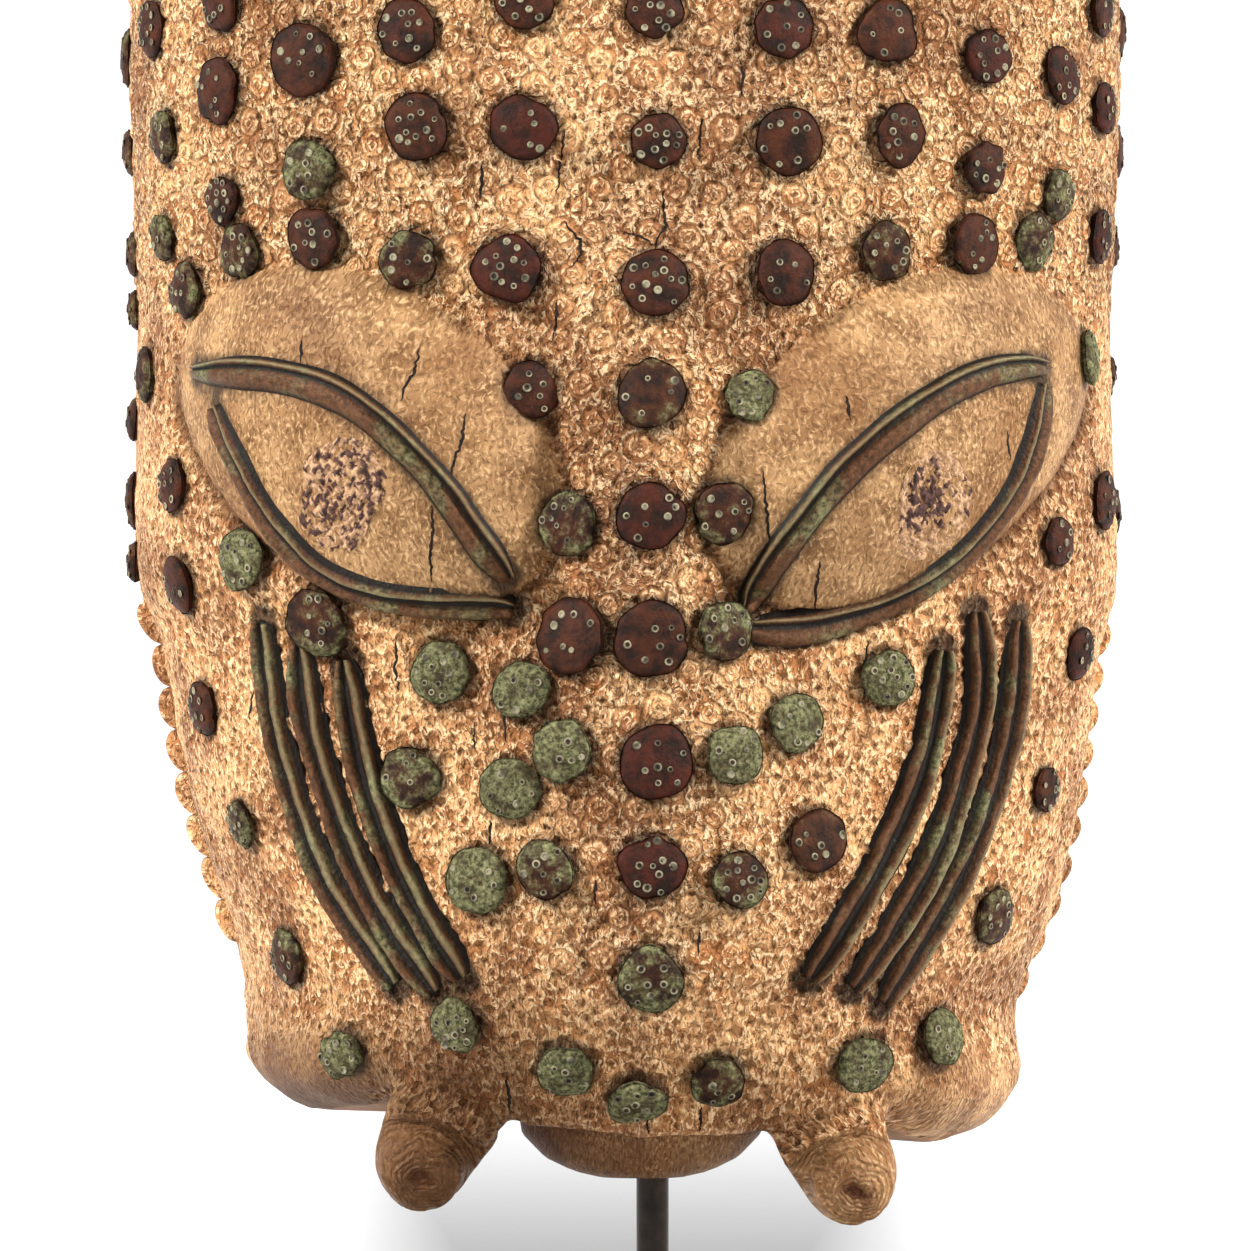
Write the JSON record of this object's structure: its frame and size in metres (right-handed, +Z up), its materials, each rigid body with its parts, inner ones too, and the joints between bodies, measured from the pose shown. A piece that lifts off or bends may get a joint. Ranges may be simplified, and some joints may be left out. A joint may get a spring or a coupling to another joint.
{
  "type": "ceremonial animal mask",
  "caption": "Upright half-tusk animal mask with domed eyes, copper studs and strips, blunt canines and a hollow back, held on a thin rod with a low foot.",
  "frame": {"origin": "centre of the foot's underside, under the rod", "axes": "+Z up along the rod, the face looks along -Y, +X to the viewer's right"},
  "size_m": [0.144, 0.112, 0.2919],
  "materials": {
    "ivory": "aged, pitted, dull",
    "copper_studs": "dark, with green patina",
    "copper_strips": "dark, with green patina",
    "rod_metal": "dark bronze",
    "foot_paint": "satin black"
  },
  "bodies": {
    "root": {"cheek_strip_left_inner": "copper_strips", "cheek_strip_left_middle": "copper_strips", "cheek_strip_left_outer": "copper_strips", "cheek_strip_right_inner": "copper_strips", "cheek_strip_right_middle": "copper_strips", "cheek_strip_right_outer": "copper_strips", "eye_strip_left_lower": "copper_strips", "eye_strip_left_upper": "copper_strips", "eye_strip_right_lower": "copper_strips", "eye_strip_right_upper": "copper_strips", "ivory_mask": "ivory", "mount_foot": "foot_paint", "mount_rod": "rod_metal", "stud_b10": "copper_studs", "stud_b4": "copper_studs", "stud_b5": "copper_studs", "stud_b6": "copper_studs", "stud_b7": "copper_studs", "stud_b8": "copper_studs", "stud_b9": "copper_studs", "stud_c10": "copper_studs", "stud_c11": "copper_studs", "stud_c12": "copper_studs", "stud_c6": "copper_studs", "stud_c7": "copper_studs", "stud_c8": "copper_studs", "stud_c9": "copper_studs", "stud_d3": "copper_studs", "stud_d4": "copper_studs", "stud_d5": "copper_studs", "stud_e4": "copper_studs", "stud_e5": "copper_studs", "stud_e6": "copper_studs", "stud_f2": "copper_studs", "stud_f3": "copper_studs", "stud_f4": "copper_studs", "stud_f5": "copper_studs", "stud_f6": "copper_studs", "stud_g10": "copper_studs", "stud_g11": "copper_studs", "stud_g2": "copper_studs", "stud_g3": "copper_studs", "stud_g4": "copper_studs", "stud_g5": "copper_studs", "stud_g6": "copper_studs", "stud_g7": "copper_studs", "stud_g8": "copper_studs", "stud_h2": "copper_studs", "stud_h3": "copper_studs", "stud_h4": "copper_studs", "stud_h5": "copper_studs", "stud_h6": "copper_studs", "stud_i1": "copper_studs", "stud_i2": "copper_studs", "stud_i3": "copper_studs", "stud_i4": "copper_studs", "stud_i5": "copper_studs", "stud_i6": "copper_studs", "stud_i7": "copper_studs", "stud_i8": "copper_studs"}
  },
  "joints": []
}
